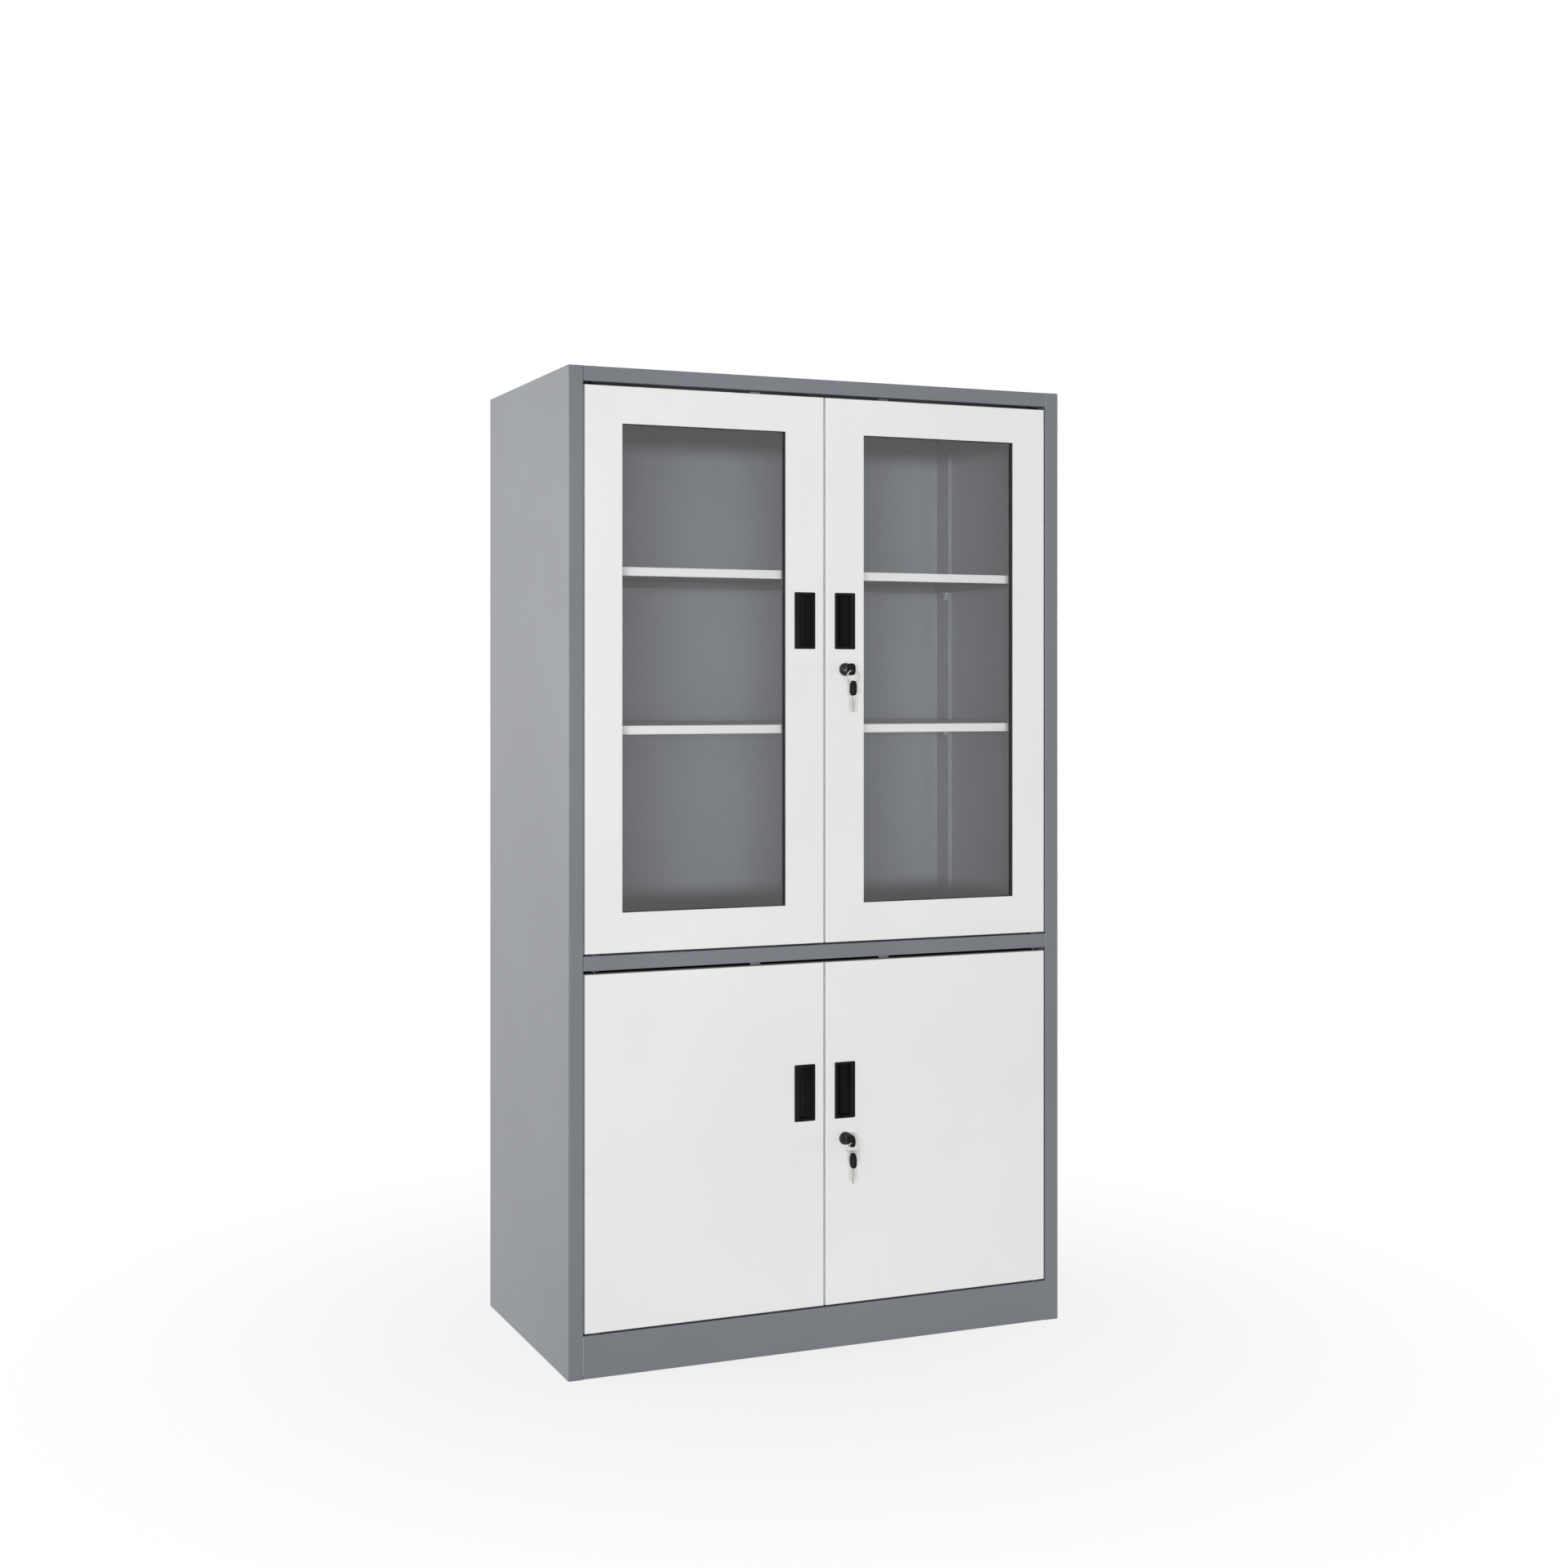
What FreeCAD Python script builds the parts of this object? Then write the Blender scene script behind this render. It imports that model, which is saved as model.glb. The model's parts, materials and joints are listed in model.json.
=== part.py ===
import FreeCAD, Part
import os
from math import acos, cos, pi, sin, sqrt, tan

# Two-door-over-two-door steel storage cabinet, in millimetres, +Z up, front towards -Y.
# Every piece is modelled with the front plane of the posts at y = 0, the middle of the width
# at x = 0 and the floor at z = 0, and is moved along Y as it is saved.

V = FreeCAD.Vector

# Overall size
WIDTH = 1000.0
DEPTH = 500.0
HEIGHT = 1800.0

# Sheet steel
SHEET = 0.8
BEND = 1.2
SHARP = 0.0
SEAM = 0.2

# Carcass
POST_WIDTH = 28.0
POST_RETURN = 32.0
POST_LIP = 14.0
REAR_RETURN = 18.0
FLOOR_RETURN = 20.0
TOP_RAIL = 27.0
MIDDLE_TOP = 751.0
MIDDLE_RAIL = 27.0
PLINTH = 77.0
RAIL_RETURN = 40.0
RAIL_HEM = 10.0
RAIL_BENDS = (SHARP, BEND, BEND, SHARP)
DECK_FLANGE = 15.0

# Doors
DOOR_THICK = 20.0
DOOR_FLANGE = 22.0
SIDE_GAP = 3.0
CENTRE_GAP = 4.0
HEAD_GAP = 6.0
SILL_GAP = 3.0
STIFFENER_WIDTH = 60.0
STIFFENER_FLANGE = 15.0
STIFFENER_MARGIN = 25.0

# Windows of the upper doors
HINGE_STILE = 70.0
MEETING_STILE = 78.0
WINDOW_TOP_RAIL = 67.0
WINDOW_BOTTOM_RAIL = 72.0
GLASS_THICK = 4.0
GLASS_SETBACK = 8.0
SEAL_COVER = 12.0
SEAL_WALL = 3.0

# Shelves, their uprights and clips
SHELF_LIP = 16.0
SHELF_HEM = 12.0
SHELF_FRONT = 50.0
SHELF_REAR_GAP = 8.0
SHELF_END_GAP = 1.5
UPPER_SHELF_TOP = 1159.0
UPPER_SHELF_STEPS = 4
LOWER_SHELF_TOP = 415.0
SLOT_PITCH = 72.0
SLOT_WIDTH = 14.0
SLOT_HEIGHT = 3.0
UPRIGHT_WIDTH = 22.0
UPRIGHT_PROUD = 8.0
UPRIGHT_SHEET = 1.2
UPRIGHT_FRONT = 75.0
UPRIGHT_REAR_GAP = 45.0
SLOT_END_MARGIN = 60.0
CLIP_THICK = 2.0
CLIP_LEDGE = 9.0
CLIP_LEG = 14.0
CLIP_TAB = 4.0
CLIP_PLAY = 0.5

# Hinges
PIN_RADIUS = 4.0
PIN_INSET = 20.0
PIN_NECK = 9.0
PIN_HEAD_FLATS = 13.0
PIN_HEAD = 3.0
PIN_REACH = 9.0
PIN_RUNNING = 0.05
BUSH_WALL = 2.0
BUSH_LENGTH = 10.0
BUSH_FLANGE = 1.5
BUSH_FLANGE_WIDTH = 16.0

# Door stops under the rails
STOP_WIDTH = 20.0
STOP_DROP = 22.0
STOP_LEG = 15.0
STOP_SHEET = 1.5
STOP_GAP = 0.4
STOP_FROM_MEETING = 130.0

# Recessed pulls
PULL_WIDTH = 42.0
PULL_HEIGHT = 105.0
PULL_INSET = 39.0
PULL_RIM = 3.0
PULL_PROUD = 1.6
PULL_DEPTH = 16.0
PULL_WALL = 2.0
PULL_LIP = 5.0
PULL_LIP_THICK = 4.0
PULL_RAMP = 13.0
PULL_CLEARANCE = 0.4
PULL_CORNER = 2.0
UPPER_PULL_HEIGHT = 1352.0
LOWER_PULL_HEIGHT = 478.0

# Cam locks
LOCK_DROP = 90.0
ROSETTE_RADIUS = 12.0
ROSETTE_THICK = 4.0
BARREL_RADIUS = 9.3
BARREL_FLATS = 16.0
BARREL_LENGTH = 25.0
BARREL_CLEARANCE = 0.3
CLAMP_WIDTH = 28.0
CLAMP_HEIGHT = 30.0
CLAMP_THICK = 1.5
CLAMP_CLEARANCE = 0.05
PLUG_RADIUS = 6.0
PLUG_RUNNING = 0.05
PLUG_PROUD = 0.6
TANG = 8.0
TANG_PLAY = 0.1
CAM_THICK = 2.0
CAM_WIDTH = 14.0
CAM_PLAY = 0.2
CAM_OVERLAP = 15.0
CAM_BEHIND_DOOR = 1.0
CAM_CRANK_START = 16.0
CAM_CRANK_RUN = 6.0

# Keys and split rings
KEY_REACH = 42.0
KEY_HEAD_LENGTH = 28.0
KEY_HEAD_WIDTH = 22.0
KEY_HEAD_THICK = 5.0
KEY_HEAD_CORNER = 6.0
KEY_HEAD_CORNER_SHARE = 0.9
KEY_EYE = 5.5
KEY_EYE_INSET = 6.0
KEY_TONGUE = 9.0
BLADE_THICK = 2.0
BLADE_WIDTH = 8.0
BLADE_LENGTH = 30.0
BLADE_NOTCH = 1.8
BLADE_NOTCHES = 5
BLADE_PLAIN_PITCHES = 3
KEYWAY_PLAY = 0.1
RING_RADIUS = 12.0
RING_WIRE = 1.6
RING_SIDES = 28
RING_PLAY = 0.15

# Slide bolts on the left doors
BOLT_WIDTH = 10.0
BOLT_THICK = 4.0
BOLT_RUNNING = 0.1
BOLT_INSET = 11.0
BOLT_PLATE_WIDTH = 20.0
BOLT_PLATE_HEIGHT = 70.0
BOLT_PLATE_THICK = 1.5
BOLT_FROM_TOP = 6.0
BOLT_GUIDE_HEIGHT = 12.0
BOLT_GUIDE_WALL = 2.0
BOLT_TIP_DROP = 3.0
BOLT_TAIL = 4.0
BOLT_TAB_THICK = 3.0
BOLT_TAB_LENGTH = 12.0
BOLT_TAB_GAP = 4.0
BOLT_HOLE_CLEARANCE = 1.0

# Closeness at which faces and edges of a block count as level or parallel
LEVEL = 1e-6

# Derived places
inner_half = WIDTH / 2 - POST_WIDTH
skin_half = WIDTH / 2 - SHEET
back_face = DEPTH - 2 * SHEET
top_rail_bottom = HEIGHT - TOP_RAIL
middle_bottom = MIDDLE_TOP - MIDDLE_RAIL
upper_door = (MIDDLE_TOP + SILL_GAP, top_rail_bottom - HEAD_GAP)
lower_door = (PLINTH + SILL_GAP, middle_bottom - HEAD_GAP)
door_outer = inner_half - SIDE_GAP
door_inner = CENTRE_GAP / 2
pin_x = door_outer - PIN_INSET
pin_y = DOOR_THICK / 2
bush_half = PIN_RADIUS + PIN_RUNNING + BUSH_WALL
upright_face = skin_half - UPRIGHT_PROUD
eye_y = KEY_EYE_INSET - KEY_REACH
key_front = eye_y - KEY_HEAD_WIDTH / 2
y_shift = -(DEPTH + key_front) / 2
bolt_x = -(door_inner + BOLT_INSET)
bolt_y = DOOR_THICK + BOLT_PLATE_THICK + BOLT_RUNNING + BOLT_THICK / 2
lock_x = door_inner + PULL_INSET


def box(x0, x1, y0, y1, z0, z1):
    return Part.makeBox(x1 - x0, y1 - y0, z1 - z0, V(x0, y0, z0))


def mirrored(shape):
    """The same piece on the other side of the cabinet."""
    return shape.mirror(V(0, 0, 0), V(1, 0, 0))


def both_sides(shape):
    return [shape, mirrored(shape)]


def fused(first, *others):
    return first.fuse(list(others)).removeSplitter()


def edges_along(block, way):
    """The edges of a block that run one way."""
    runs = [(e, e.Vertexes[-1].Point - e.Vertexes[0].Point) for e in block.Edges]
    return [e for e, run in runs if run.cross(way).Length < LEVEL < run.Length]


def hexagon(flats, thick):
    """A six-sided block standing on the origin."""
    corner = flats / sqrt(3)
    angles = [(k % 6) * pi / 3 for k in range(7)]
    outline = Part.makePolygon([V(corner * cos(a), corner * sin(a), 0) for a in angles])
    return Part.Face(outline).extrude(V(0, 0, thick))


def bent_line(points, radii, to_space):
    """Edges along an open line of 2D points, with each inner corner rounded to its radius, if any."""
    edges = []
    last = points[0]
    for before, corner, after, radius in zip(points, points[1:], points[2:], radii):
        if radius == SHARP:
            edges.append(Part.LineSegment(to_space(last), to_space(corner)).toShape())
            last = corner
            continue
        into = (corner - before).normalize()
        out = (after - corner).normalize()
        turn = acos(max(-1.0, min(1.0, into.dot(out))))
        reach = radius * tan(turn / 2)
        start = corner - into * reach
        end = corner + out * reach
        middle = corner + (out - into).normalize() * (radius / cos(turn / 2) - radius)
        edges.append(Part.LineSegment(to_space(last), to_space(start)).toShape())
        edges.append(Part.Arc(to_space(start), to_space(middle), to_space(end)).toShape())
        last = end
    edges.append(Part.LineSegment(to_space(last), to_space(points[-1])).toShape())
    return edges


def folded_sheet(corners, thick, along, start, length, bends):
    """A sheet folded along straight bends. The corners follow one face, with the sheet on the
    left of the line; the profile runs along x (corners are y, z) or along z (corners are x, y).
    Each fold has its inner radius in bends, which is SHARP where it is pressed flat."""
    face = [V(a, b, 0) for a, b in corners]
    sides = [(q - p).normalize() for p, q in zip(face, face[1:])]
    left = [V(-d.y, d.x, 0) for d in sides]
    turns = [a.x * b.y - a.y * b.x for a, b in zip(sides, sides[1:])]
    other = [face[0] + left[0] * thick]
    for corner, a, b in zip(face[1:-1], left, left[1:]):
        other.append(corner + (a + b) * (thick / (1 + a.dot(b))))
    other.append(face[-1] + left[-1] * thick)
    near = [r + thick if r > SHARP and t > 0 else r for r, t in zip(bends, turns)]
    far = [r + thick if r > SHARP and t < 0 else r for r, t in zip(bends, turns)]
    if along == "x":
        to_space = lambda p: V(start, p.x, p.y)
        run = V(length, 0, 0)
    else:
        to_space = lambda p: V(p.x, p.y, start)
        run = V(0, 0, length)
    edges = bent_line(face, near, to_space)
    edges.append(Part.LineSegment(to_space(face[-1]), to_space(other[-1])).toShape())
    edges += bent_line(other[::-1], far[::-1], to_space)
    edges.append(Part.LineSegment(to_space(other[0]), to_space(face[0])).toShape())
    return Part.Face(Part.Wire(edges)).extrude(run)


def rounded_front_box(x0, x1, y0, y1, z0, z1, radius):
    """A box whose four front edges are bent over to a radius."""
    solid = box(x0, x1, y0, y1, z0, z1)
    front = [e for e in solid.Edges if all(abs(v.Y - y0) < LEVEL for v in e.Vertexes)]
    return solid.makeFillet(radius, front)


# Carcass
def side_panel():
    """Left side: skin, front post, rear return and the return that stands on the floor."""
    outer = -WIDTH / 2
    corners = [
        (outer + REAR_RETURN, DEPTH),
        (outer, DEPTH),
        (outer, 0),
        (outer + POST_WIDTH, 0),
        (outer + POST_WIDTH, POST_RETURN),
        (outer + POST_WIDTH - POST_LIP, POST_RETURN),
    ]
    skin = folded_sheet(corners, SHEET, "z", 0, HEIGHT, [BEND, BEND, BEND, SHARP])
    foot = box(outer + SHEET / 2, outer + FLOOR_RETURN, POST_RETURN + SEAM, back_face - SEAM, 0, SHEET)
    under_top = box(-skin_half, outer + POST_WIDTH, 0, DEPTH, HEIGHT - SHEET, HEIGHT)
    return fused(skin, foot).cut(under_top)


def deck(corners, bends, top, side_front):
    """A horizontal panel: the folded rail between the posts, and the sides that reach the skins."""
    rail = folded_sheet(corners, SHEET, "x", -inner_half, 2 * inner_half, bends)
    side_rear = back_face - BEND
    wing = box(inner_half - SEAM, skin_half, side_front, side_rear, top - SHEET, top)
    flange_front = max(side_front, POST_RETURN + SEAM)
    flange = box(skin_half - SHEET, skin_half, flange_front, side_rear, top - DECK_FLANGE, top)
    side = wing.fuse(flange)
    return fused(rail, *both_sides(side))


def rail_corners(top, bottom):
    """Rear flange, skin, front face of the rail, its return and its hem."""
    return [
        (back_face, top - DECK_FLANGE),
        (back_face, top),
        (0, top),
        (0, bottom),
        (RAIL_RETURN, bottom),
        (RAIL_RETURN, bottom + RAIL_HEM),
    ]


def pin_holes(z):
    """Square holes for the shanks of the hinge bushes through the sheet whose lower face is at z."""
    half = bush_half + SEAM
    hole = box(-pin_x - half, -pin_x + half, pin_y - half, pin_y + half, z - SHEET, z + 2 * SHEET)
    return both_sides(hole)


def bolt_hole(z):
    """Slot for a slide bolt through the sheet whose lower face is at z."""
    half_x = BOLT_WIDTH / 2 + BOLT_HOLE_CLEARANCE
    half_y = BOLT_THICK / 2 + BOLT_HOLE_CLEARANCE
    return box(
        bolt_x - half_x, bolt_x + half_x, bolt_y - half_y, bolt_y + half_y, z - SHEET, z + 2 * SHEET
    )


def top_panel():
    panel = deck(rail_corners(HEIGHT, top_rail_bottom), RAIL_BENDS, HEIGHT, 0)
    return panel.cut(pin_holes(top_rail_bottom) + [bolt_hole(top_rail_bottom)])


def middle_panel():
    corners = rail_corners(MIDDLE_TOP, middle_bottom)
    panel = deck(corners, RAIL_BENDS, MIDDLE_TOP, POST_RETURN + SEAM)
    holes = pin_holes(MIDDLE_TOP - SHEET) + pin_holes(middle_bottom)
    return panel.cut(holes + [bolt_hole(middle_bottom)])


def bottom_panel():
    corners = [
        (back_face, PLINTH - DECK_FLANGE),
        (back_face, PLINTH),
        (0, PLINTH),
        (0, 0),
        (FLOOR_RETURN, 0),
    ]
    panel = deck(corners, [SHARP, BEND, BEND], PLINTH, POST_RETURN + SEAM)
    return panel.cut(pin_holes(PLINTH - SHEET))


def back_panel():
    """Flat back behind the decks, with a return on the floor between the side panels."""
    half = skin_half - BEND
    sheet = box(-half, half, back_face, back_face + SHEET, 0, HEIGHT - SHEET)
    foot_half = WIDTH / 2 - FLOOR_RETURN - SEAM
    foot = box(-foot_half, foot_half, back_face - FLOOR_RETURN, back_face, 0, SHEET)
    return fused(sheet, foot)


# Shelves
def shelf(top):
    """A tray turned upside down, with a hemmed front lip."""
    end = upright_face - SHELF_END_GAP
    rear = back_face - SHELF_REAR_GAP
    bottom = top - SHELF_LIP
    skin = rounded_front_box(-end, end, SHELF_FRONT, rear, bottom, top, BEND)
    hollow = box(-end + SHEET, end - SHEET, SHELF_FRONT + SHEET, rear - SHEET, bottom, top - SHEET)
    hem = box(-end, end, SHELF_FRONT + SHEET, SHELF_FRONT + SHELF_HEM, bottom, bottom + SHEET)
    return fused(skin.cut(hollow), hem)


def upright_places():
    """Front edges along the depth of the front and the rear uprights."""
    return (UPRIGHT_FRONT, back_face - UPRIGHT_REAR_GAP - UPRIGHT_WIDTH)


def slot_heights(bottom, top, shelf_top):
    """Slots one pitch apart, counted both ways from the one that carries the shelf."""
    first = shelf_top - SHELF_LIP - CLIP_THICK / 2
    down = int((first - bottom - SLOT_END_MARGIN) / SLOT_PITCH)
    up = int((top - SLOT_END_MARGIN - first) / SLOT_PITCH)
    return [first + step * SLOT_PITCH for step in range(-down, up + 1)]


def uprights(bottom, top, shelf_top):
    """Four slotted channels, two on each side skin."""
    pieces = []
    for front in upright_places():
        corners = [
            (-skin_half, front + UPRIGHT_WIDTH),
            (-upright_face, front + UPRIGHT_WIDTH),
            (-upright_face, front),
            (-skin_half, front),
        ]
        channel = folded_sheet(corners[::-1], UPRIGHT_SHEET, "z", bottom, top - bottom, [SHARP, SHARP])
        middle = front + UPRIGHT_WIDTH / 2
        slots = []
        for z in slot_heights(bottom, top, shelf_top):
            slots.append(
                box(
                    -upright_face - UPRIGHT_SHEET - SHEET,
                    -upright_face + SHEET,
                    middle - SLOT_WIDTH / 2,
                    middle + SLOT_WIDTH / 2,
                    z - SLOT_HEIGHT / 2,
                    z + SLOT_HEIGHT / 2,
                )
            )
        pieces += both_sides(channel.cut(slots))
    return Part.makeCompound(pieces)


def shelf_clips():
    """Four clips under each shelf: a tab through the slot, a ledge and a leg down the upright."""
    pieces = []
    shelf_tops = [UPPER_SHELF_TOP, UPPER_SHELF_TOP + UPPER_SHELF_STEPS * SLOT_PITCH, LOWER_SHELF_TOP]
    for shelf_top in shelf_tops:
        ledge_top = shelf_top - SHELF_LIP
        ledge_bottom = ledge_top - CLIP_THICK
        for front in upright_places():
            y0 = front + (UPRIGHT_WIDTH - SLOT_WIDTH) / 2 + CLIP_PLAY
            y1 = y0 + SLOT_WIDTH - 2 * CLIP_PLAY
            tab_end = -upright_face - CLIP_TAB
            ledge = box(tab_end, -upright_face + CLIP_LEDGE, y0, y1, ledge_bottom, ledge_top)
            leg_bottom = ledge_bottom - CLIP_LEG
            leg = box(-upright_face, -upright_face + CLIP_THICK, y0, y1, leg_bottom, ledge_bottom)
            pieces += both_sides(fused(ledge, leg))
    return Part.makeCompound(pieces)


# Hinges and stops
def bush(rail_face, way, flange):
    """A nylon bush bored for the pin: a square shank in the rail, a flange on the rail's face."""
    rim_half = BUSH_FLANGE_WIDTH / 2
    rim = box(-rim_half, rim_half, -rim_half, rim_half, -flange, 0)
    shank = box(-bush_half, bush_half, -bush_half, bush_half, 0, BUSH_LENGTH)
    bore = Part.makeCylinder(PIN_RADIUS + PIN_RUNNING, flange + BUSH_LENGTH, V(0, 0, -flange))
    piece = fused(rim, shank).cut(bore)
    if way < 0:
        piece = piece.mirror(V(0, 0, 0), V(0, 0, 1))
    piece.translate(V(-pin_x, pin_y, rail_face))
    return piece


def hinge_bushes():
    """A bush above and below each door. The flanges of the lower ones carry the doors."""
    pieces = []
    for face in (top_rail_bottom, middle_bottom):
        pieces += both_sides(bush(face, 1, BUSH_FLANGE))
    for face in (MIDDLE_TOP, PLINTH):
        pieces += both_sides(bush(face, -1, SILL_GAP))
    return Part.makeCompound(pieces)


def hinge_pin(gap):
    """A pin with its head inside the door, a square neck in the door's edge and a round end."""
    head = hexagon(PIN_HEAD_FLATS, PIN_HEAD)
    head.translate(V(0, 0, -SHEET - PIN_HEAD))
    half = PIN_NECK / 2
    neck = box(-half, half, -half, half, -SHEET, 0)
    end = Part.makeCylinder(PIN_RADIUS, gap + PIN_REACH)
    return fused(head, neck, end)


def hinge_pins(door):
    bottom, top = door
    upper = hinge_pin(HEAD_GAP)
    upper.translate(V(-pin_x, pin_y, top))
    lower = hinge_pin(SILL_GAP).mirror(V(0, 0, 0), V(0, 0, 1))
    lower.translate(V(-pin_x, pin_y, bottom))
    return Part.makeCompound([upper, lower])


def door_stops():
    """An angle under the rail behind each door, which the closed door meets."""
    pieces = []
    front = DOOR_THICK + STOP_GAP
    middle = door_inner + STOP_FROM_MEETING
    x0 = -middle - STOP_WIDTH / 2
    for rail_bottom in (top_rail_bottom, middle_bottom):
        corners = [
            (front + STOP_LEG, rail_bottom),
            (front, rail_bottom),
            (front, rail_bottom - STOP_DROP),
        ]
        stop = folded_sheet(corners, STOP_SHEET, "x", x0, STOP_WIDTH, [SHARP])
        pieces += both_sides(stop)
    return Part.makeCompound(pieces)


# Doors, drawn for the left-hand side
def pin_hole_cutters(door):
    """Square holes for the necks of the hinge pins through the top and bottom edges of a door."""
    half = PIN_NECK / 2 + PIN_RUNNING
    cutters = []
    for edge in door:
        low, high = edge - 2 * SHEET, edge + 2 * SHEET
        cutters.append(box(-pin_x - half, -pin_x + half, pin_y - half, pin_y + half, low, high))
    return cutters


def pull_hole(pull_z):
    """Opening for the recessed pull through the front sheet."""
    half_width = PULL_WIDTH / 2 - PULL_RIM + PULL_CLEARANCE
    half_height = PULL_HEIGHT / 2 - PULL_RIM + PULL_CLEARANCE
    x = -(door_inner + PULL_INSET)
    return box(
        x - half_width, x + half_width, -SHEET, 2 * SHEET, pull_z - half_height, pull_z + half_height
    )


def door_pan(door, pull_z):
    """A tray folded from one sheet: front, four edges, and a flange round the back."""
    bottom, top = door
    outer = rounded_front_box(
        -door_outer, -door_inner, 0, DOOR_THICK, bottom, top, BEND + SHEET
    )
    hollow = rounded_front_box(
        -door_outer + SHEET,
        -door_inner - SHEET,
        SHEET,
        DOOR_THICK - SHEET,
        bottom + SHEET,
        top - SHEET,
        BEND,
    )
    rear_opening = box(
        -door_outer + DOOR_FLANGE,
        -door_inner - DOOR_FLANGE,
        DOOR_THICK / 2,
        DOOR_THICK + SHEET,
        bottom + DOOR_FLANGE,
        top - DOOR_FLANGE,
    )
    return outer.cut([hollow, rear_opening, pull_hole(pull_z)] + pin_hole_cutters(door))


def window_box(y0, y1, margin):
    """A block the size of the window, widened by a margin on all four sides."""
    bottom, top = upper_door
    return box(
        -door_outer + HINGE_STILE - margin,
        -door_inner - MEETING_STILE + margin,
        y0,
        y1,
        bottom + WINDOW_BOTTOM_RAIL - margin,
        top - WINDOW_TOP_RAIL + margin,
    )


def glazed_frame():
    return door_pan(upper_door, UPPER_PULL_HEIGHT).cut(window_box(-SHEET, 2 * SHEET, 0))


def inner_frame():
    """The ring that closes the door frame at the back and clamps the seal."""
    bottom, top = upper_door
    ring = box(
        -door_outer + SHEET,
        -door_inner - SHEET,
        DOOR_THICK - 2 * SHEET,
        DOOR_THICK - SHEET,
        bottom + SHEET,
        top - SHEET,
    )
    return ring.cut(window_box(0, DOOR_THICK, 0))


def glass_margin():
    return SEAL_COVER - SEAL_WALL


def glass():
    return window_box(GLASS_SETBACK, GLASS_SETBACK + GLASS_THICK, glass_margin())


def glazing_seal():
    """A rubber channel round the glass, from the front sheet to the inner frame."""
    ring = window_box(SHEET, DOOR_THICK - 2 * SHEET, SEAL_COVER).cut(window_box(0, DOOR_THICK, 0))
    return ring.cut(glass())


def stiffener():
    """A hat channel up the middle of a lower door, welded to the back of its front sheet."""
    bottom, top = lower_door
    middle = -(door_outer + door_inner) / 2
    half = STIFFENER_WIDTH / 2
    deep = DOOR_THICK - 3 * SHEET
    corners = [
        (middle - half - STIFFENER_FLANGE, SHEET),
        (middle - half, SHEET),
        (middle - half, deep),
        (middle + half, deep),
        (middle + half, SHEET),
        (middle + half + STIFFENER_FLANGE, SHEET),
    ]
    start = bottom + STIFFENER_MARGIN
    length = top - STIFFENER_MARGIN - start
    return folded_sheet(corners, SHEET, "z", start, length, [SHARP] * 4)


def pull(pull_z):
    """A moulded cup with a rim, a finger lip on the far side and a ramp towards the meeting edge."""
    x = -(door_inner + PULL_INSET)
    half_width = PULL_WIDTH / 2
    half_height = PULL_HEIGHT / 2
    rim = box(x - half_width, x + half_width, -PULL_PROUD, 0, pull_z - half_height, pull_z + half_height)
    rim = rim.makeFillet(PULL_CORNER, edges_along(rim, V(0, 1, 0)))
    cup_width = half_width - PULL_RIM
    cup_height = half_height - PULL_RIM
    cup = box(
        x - cup_width, x + cup_width, -PULL_PROUD, PULL_DEPTH, pull_z - cup_height, pull_z + cup_height
    )
    wall = cup_width - PULL_WALL
    floor = PULL_DEPTH - PULL_WALL
    pocket_line = [
        V(x - wall + PULL_LIP, -PULL_PROUD - SHEET, 0),
        V(x - wall + PULL_LIP, PULL_LIP_THICK, 0),
        V(x - wall, PULL_LIP_THICK, 0),
        V(x - wall, floor, 0),
        V(x + wall - PULL_RAMP, floor, 0),
        V(x + wall, 0, 0),
        V(x + wall, -PULL_PROUD - SHEET, 0),
    ]
    pocket = Part.Face(Part.makePolygon(pocket_line + pocket_line[:1]))
    pocket_height = cup_height - PULL_WALL
    pocket = pocket.extrude(V(0, 0, 2 * pocket_height))
    pocket.translate(V(0, 0, pull_z - pocket_height))
    return fused(rim, cup).cut(pocket)


# Slide bolts of the left doors
def bolt_guide(door):
    """A plate on the back of the meeting edge, with two straps over the bolt."""
    plate_top = door[1] - BOLT_FROM_TOP
    plate_bottom = plate_top - BOLT_PLATE_HEIGHT
    half = BOLT_PLATE_WIDTH / 2
    plate_rear = DOOR_THICK + BOLT_PLATE_THICK
    tunnel_half = BOLT_WIDTH / 2 + BOLT_RUNNING
    tunnel_rear = bolt_y + BOLT_THICK / 2 + BOLT_RUNNING
    strap_half = tunnel_half + BOLT_GUIDE_WALL
    strap_rear = tunnel_rear + BOLT_GUIDE_WALL
    plate = box(bolt_x - half, bolt_x + half, DOOR_THICK, plate_rear, plate_bottom, plate_top)
    straps = []
    for z in (plate_bottom, plate_top - BOLT_GUIDE_HEIGHT):
        straps.append(
            box(bolt_x - strap_half, bolt_x + strap_half, plate_rear, strap_rear, z, z + BOLT_GUIDE_HEIGHT)
        )
    tunnel = box(
        bolt_x - tunnel_half, bolt_x + tunnel_half, plate_rear, tunnel_rear, plate_bottom, plate_top
    )
    return fused(plate, *straps).cut(tunnel)


def slide_bolt(door):
    """A flat bar with a thumb tab, drawn back until the tab is near the lower strap."""
    tip = door[1] - BOLT_TIP_DROP
    plate_bottom = door[1] - BOLT_FROM_TOP - BOLT_PLATE_HEIGHT
    tail = plate_bottom - BOLT_TAIL
    half_x = BOLT_WIDTH / 2
    half_y = BOLT_THICK / 2
    bar = box(bolt_x - half_x, bolt_x + half_x, bolt_y - half_y, bolt_y + half_y, tail, tip)
    tab_bottom = plate_bottom + BOLT_GUIDE_HEIGHT + BOLT_TAB_GAP
    tab_rear = bolt_y + half_y + BOLT_TAB_LENGTH
    tab = box(bolt_x - half_x, bolt_x + half_x, bolt_y, tab_rear, tab_bottom, tab_bottom + BOLT_TAB_THICK)
    return fused(bar, tab)


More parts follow.
